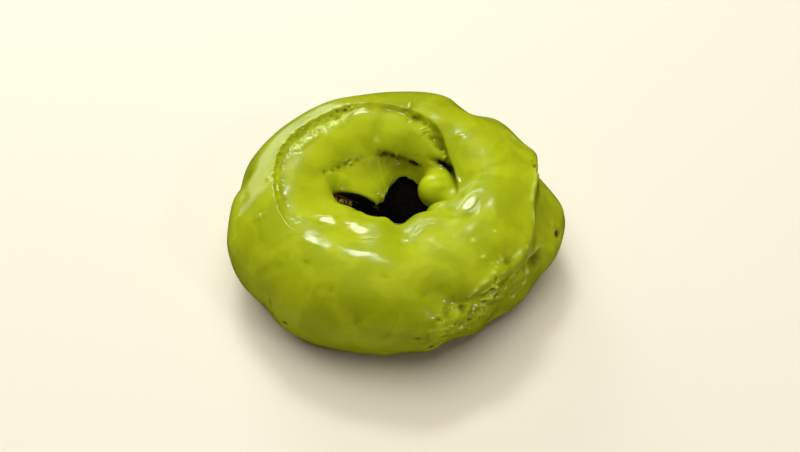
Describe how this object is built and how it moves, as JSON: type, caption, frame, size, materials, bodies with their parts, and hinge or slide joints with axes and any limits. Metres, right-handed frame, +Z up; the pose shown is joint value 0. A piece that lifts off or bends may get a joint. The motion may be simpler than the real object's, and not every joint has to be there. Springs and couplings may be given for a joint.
{
  "type": "old-fashioned ring doughnut",
  "caption": "Old-fashioned ring doughnut of fried dough under a thick glossy green matcha coating, cracked round its top.",
  "frame": {"origin": "centre of the ring's box, on the surface that it rests on", "axes": "+Z up, out of the top of the ring; +Y towards the back, away from the picture's camera; +X to the right"},
  "size_m": [0.0937, 0.0916, 0.0283],
  "materials": {
    "fried_crust": "dry browned fried crust, fine crumb",
    "matcha_coating": "glossy set matcha chocolate, yellow green, a little translucent"
  },
  "bodies": {
    "root": {"dough_ring": "fried_crust", "matcha_coating": "matcha_coating"}
  },
  "joints": []
}
